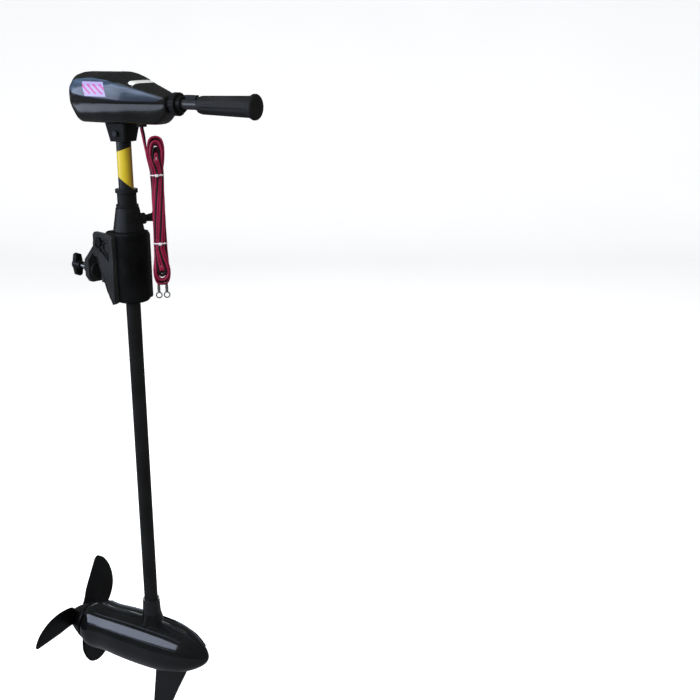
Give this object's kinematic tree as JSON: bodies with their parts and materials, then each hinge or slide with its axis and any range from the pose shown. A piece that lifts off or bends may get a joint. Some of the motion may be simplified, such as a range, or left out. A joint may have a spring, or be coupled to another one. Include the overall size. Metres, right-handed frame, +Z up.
{
  "type": "trolling motor",
  "caption": "Hand-steered electric trolling motor with a transom clamp, tilting bracket, sliding shaft, telescoping twist-grip handle and submerged motor pod with a weedless propeller.",
  "frame": {"origin": "middle of the clamp's seat face, where the clamp rests on the top edge of the transom", "axes": "+Z up along the motor shaft, -Y outboard (the side the shaft hangs on), +Y into the boat, +X to the tension knob's side"},
  "size_m": [0.3067, 0.5204, 1.39],
  "materials": {
    "black_plastic": "satin moulded, fine grain",
    "brass_part": "machined",
    "pad_rubber": "matte",
    "stainless": "brushed",
    "shaft_composite": "satin composite tube",
    "yellow_film": "satin warning-yellow wrap",
    "cable_jacket": "crimson and black flexible jacket",
    "gloss_black": "gloss painted",
    "meter_lens": "gloss pale strip",
    "circuit_board": "solder mask",
    "side_film": "gloss blue-grey trim film",
    "ferrite": "sintered",
    "steel_ring": "rolled",
    "bearing_steel": "ground",
    "cast_alloy": "as cast",
    "carbon": "pressed carbon",
    "grip_rubber": "matte",
    "prop_plastic": "satin glass-filled",
    "copper_core": "wound",
    "tie_nylon": "translucent white nylon",
    "terminal_metal": "tinned"
  },
  "bodies": {
    "clamp": {"clamp_frame": "black_plastic", "clamp_bushes": "brass_part", "transom_pad": "pad_rubber", "tilt_pin": "stainless", "tilt_pin_nut": "stainless"},
    "tilt_lever": {"tilt_lock_lever": "black_plastic"},
    "column": {"tilt_bracket": "black_plastic", "steering_sleeve": "black_plastic", "steering_bushes": "black_plastic"},
    "brake": {"brake_pad": "pad_rubber"},
    "tension_knob": {"tension_knob": "black_plastic", "tension_screw": "stainless"},
    "pad_left": {"clamp_pad_left": "black_plastic"},
    "screw_left": {"clamp_screw_left": "stainless", "clamp_handle_left": "black_plastic"},
    "pad_right": {"clamp_pad_right": "black_plastic"},
    "screw_right": {"clamp_screw_right": "stainless", "clamp_handle_right": "black_plastic"},
    "collar": {"depth_collar": "black_plastic", "collar_nut": "stainless"},
    "collar_screw": {"collar_screw": "black_plastic"},
    "motor_unit": {"shaft_tube": "shaft_composite", "shaft_label": "yellow_film", "motor_wires": "cable_jacket", "head_lower_housing": "gloss_black", "head_top_cover": "gloss_black", "head_yoke": "black_plastic", "yoke_bolt": "stainless", "cover_screws": "stainless", "meter_window": "meter_lens", "meter_board": "circuit_board", "side_panels": "side_film", "switch_body": "black_plastic", "cable_grommet": "pad_rubber", "power_lead": "cable_jacket", "nose_bush": "black_plastic", "motor_housing": "gloss_black", "motor_rear_case": "gloss_black", "motor_nose_cone": "gloss_black", "magnets": "ferrite", "flux_ring": "steel_ring", "bearings": "bearing_steel", "bearing_carriers": "cast_alloy", "shaft_seals": "pad_rubber", "brush_holder": "black_plastic", "brushes": "carbon", "o_ring": "pad_rubber"},
    "lock_ring": {"nose_lock_ring": "black_plastic"},
    "handle": {"handle_tube": "black_plastic"},
    "lock_button": {"lock_button": "black_plastic"},
    "grip": {"handle_grip": "grip_rubber", "drive_rod": "stainless"},
    "switch": {"switch_rotor": "black_plastic"},
    "prop": {"propeller": "prop_plastic", "prop_nut": "stainless", "drive_pin": "stainless", "armature": "copper_core"},
    "cable": {"cable_bundle": "cable_jacket", "zip_ties": "tie_nylon", "ring_terminals": "terminal_metal"}
  },
  "joints": [
    {"name": "tilt", "type": "hinge", "parent": "clamp", "child": "column", "pos_m": [0, -0.036, 0.032], "axis": [-1, 0, 0], "range_deg": [0, 90]},
    {"name": "tilt_lever_turn", "type": "hinge", "parent": "clamp", "child": "tilt_lever", "pos_m": [0.05, -0.036, 0.032], "axis": [1, 0, 0], "range_deg": [-30, 90]},
    {"name": "steer", "type": "hinge", "parent": "column", "child": "collar", "pos_m": [0, -0.075, 0.1], "axis": [0, 0, 1], "continuous": true},
    {"name": "depth", "type": "slide", "parent": "collar", "child": "motor_unit", "axis": [0, 0, 1], "range_m": [-0.07, 0.56]},
    {"name": "collar_screw_turn", "type": "hinge", "parent": "collar", "child": "collar_screw", "pos_m": [0.01632, -0.0581, 0.116], "axis": [0.7193, -0.6947, 0], "range_deg": [-180, 180]},
    {"name": "brake_slide", "type": "slide", "parent": "column", "child": "brake", "axis": [1, 0, 0], "range_m": [0, 0.003]},
    {"name": "tension_turn", "type": "hinge", "parent": "brake", "child": "tension_knob", "pos_m": [0.04, -0.075, 0.073], "axis": [1, 0, 0], "range_deg": [0, 720]},
    {"name": "pad_left_slide", "type": "slide", "parent": "clamp", "child": "pad_left", "axis": [0, -1, 0], "range_m": [-0.003, 0.024]},
    {"name": "screw_left_turn", "type": "hinge", "parent": "pad_left", "child": "screw_left", "pos_m": [-0.024, 0.05, -0.034], "axis": [0, -1, 0], "range_deg": [-360, 2880]},
    {"name": "pad_right_slide", "type": "slide", "parent": "clamp", "child": "pad_right", "axis": [0, -1, 0], "range_m": [-0.003, 0.024]},
    {"name": "screw_right_turn", "type": "hinge", "parent": "pad_right", "child": "screw_right", "pos_m": [0.024, 0.05, -0.034], "axis": [0, -1, 0], "range_deg": [-360, 2880]},
    {"name": "lock_ring_turn", "type": "hinge", "parent": "motor_unit", "child": "lock_ring", "pos_m": [0.03859, -0.20123, 0.296], "axis": [0.2924, -0.9563, 0], "range_deg": [-45, 45]},
    {"name": "handle_extend", "type": "slide", "parent": "motor_unit", "child": "handle", "axis": [0.2924, -0.9563, 0], "range_m": [0, 0.11]},
    {"name": "button_press", "type": "slide", "parent": "handle", "child": "lock_button", "axis": [0, 0, -1], "range_m": [0, 0.003]},
    {"name": "throttle_twist", "type": "hinge", "parent": "handle", "child": "grip", "pos_m": [0.07309, -0.31408, 0.296], "axis": [0.2924, -0.9563, 0], "range_deg": [-90, 120]},
    {"name": "switch_turn", "type": "hinge", "parent": "motor_unit", "child": "switch", "pos_m": [-0.01988, -0.00997, 0.296], "axis": [0.2924, -0.9563, 0], "range_deg": [-90, 120]},
    {"name": "prop_spin", "type": "hinge", "parent": "motor_unit", "child": "prop", "pos_m": [-0.05847, 0.11626, -0.852], "axis": [0.2924, -0.9563, 0], "continuous": true},
    {"name": "cable_swing", "type": "hinge", "parent": "motor_unit", "child": "cable", "pos_m": [0, -0.075, 0.1], "axis": [0, 0, 1], "continuous": true}
  ],
  "couplings": [
    {"joint": "tension_turn", "follows": "brake_slide", "rad_per_m": 4188.8},
    {"joint": "screw_left_turn", "follows": "pad_left_slide", "rad_per_m": 2094.4},
    {"joint": "screw_right_turn", "follows": "pad_right_slide", "rad_per_m": 2094.4},
    {"joint": "switch_turn", "follows": "throttle_twist", "ratio": 1},
    {"joint": "cable_swing", "follows": "steer", "ratio": -1}
  ]
}
